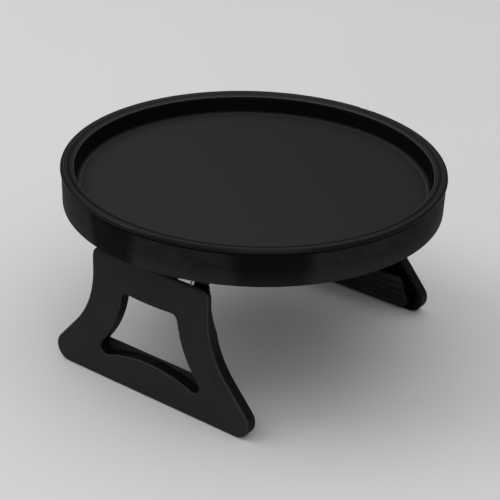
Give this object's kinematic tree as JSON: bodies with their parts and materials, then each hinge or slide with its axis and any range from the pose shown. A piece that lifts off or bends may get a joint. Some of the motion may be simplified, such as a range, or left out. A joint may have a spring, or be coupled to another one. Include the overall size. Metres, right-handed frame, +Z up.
{
  "type": "sofa arm tray",
  "caption": "Round shallow tray that clips over a sofa arm, held by flared, windowed jaws that fold inward on sprung hinge pins.",
  "frame": {"origin": "middle of the foam pad's lower face, where the tray lies on the sofa arm", "axes": "+Z up out of the tray, +X along the hinge pins and the sofa arm, +Y from the front jaw to the back jaw"},
  "size_m": [0.3, 0.3, 0.1545],
  "materials": {
    "tray": "fine matte texture on the floor, glossier rim and wall",
    "base": "plain moulded",
    "screws": "zinc plated",
    "pad_foam": "closed-cell foam",
    "jaws": "satin moulded",
    "grip_rubber": "soft grooved rubber",
    "pins": "ground steel",
    "plugs": "satin moulded",
    "springs": "drawn spring wire"
  },
  "bodies": {
    "tray_and_base": {"tray": "tray", "clamp_base": "base", "base_screws": "screws", "arm_rest_pad": "pad_foam", "front_left_spring": "springs", "front_right_spring": "springs", "back_left_spring": "springs", "back_right_spring": "springs"},
    "front_jaw": {"front_jaw": "jaws", "front_grip_pad": "grip_rubber", "front_hinge_pin": "pins", "front_pin_plug": "plugs"},
    "back_jaw": {"back_jaw": "jaws", "back_grip_pad": "grip_rubber", "back_hinge_pin": "pins", "back_pin_plug": "plugs"}
  },
  "joints": [
    {"name": "front_jaw_hinge", "type": "hinge", "parent": "tray_and_base", "child": "front_jaw", "pos_m": [0, -0.1196, -0.0092], "axis": [1, 0, 0], "range_deg": [-30, 90], "stiffness_Nm_per_rad": 0.09, "springref_deg": 120.32, "deforming": ["front_left_spring", "front_right_spring"]},
    {"name": "back_jaw_hinge", "type": "hinge", "parent": "tray_and_base", "child": "back_jaw", "pos_m": [0, 0.1196, -0.0092], "axis": [-1, 0, 0], "range_deg": [-30, 90], "stiffness_Nm_per_rad": 0.09, "springref_deg": 120.32, "deforming": ["back_left_spring", "back_right_spring"]}
  ]
}
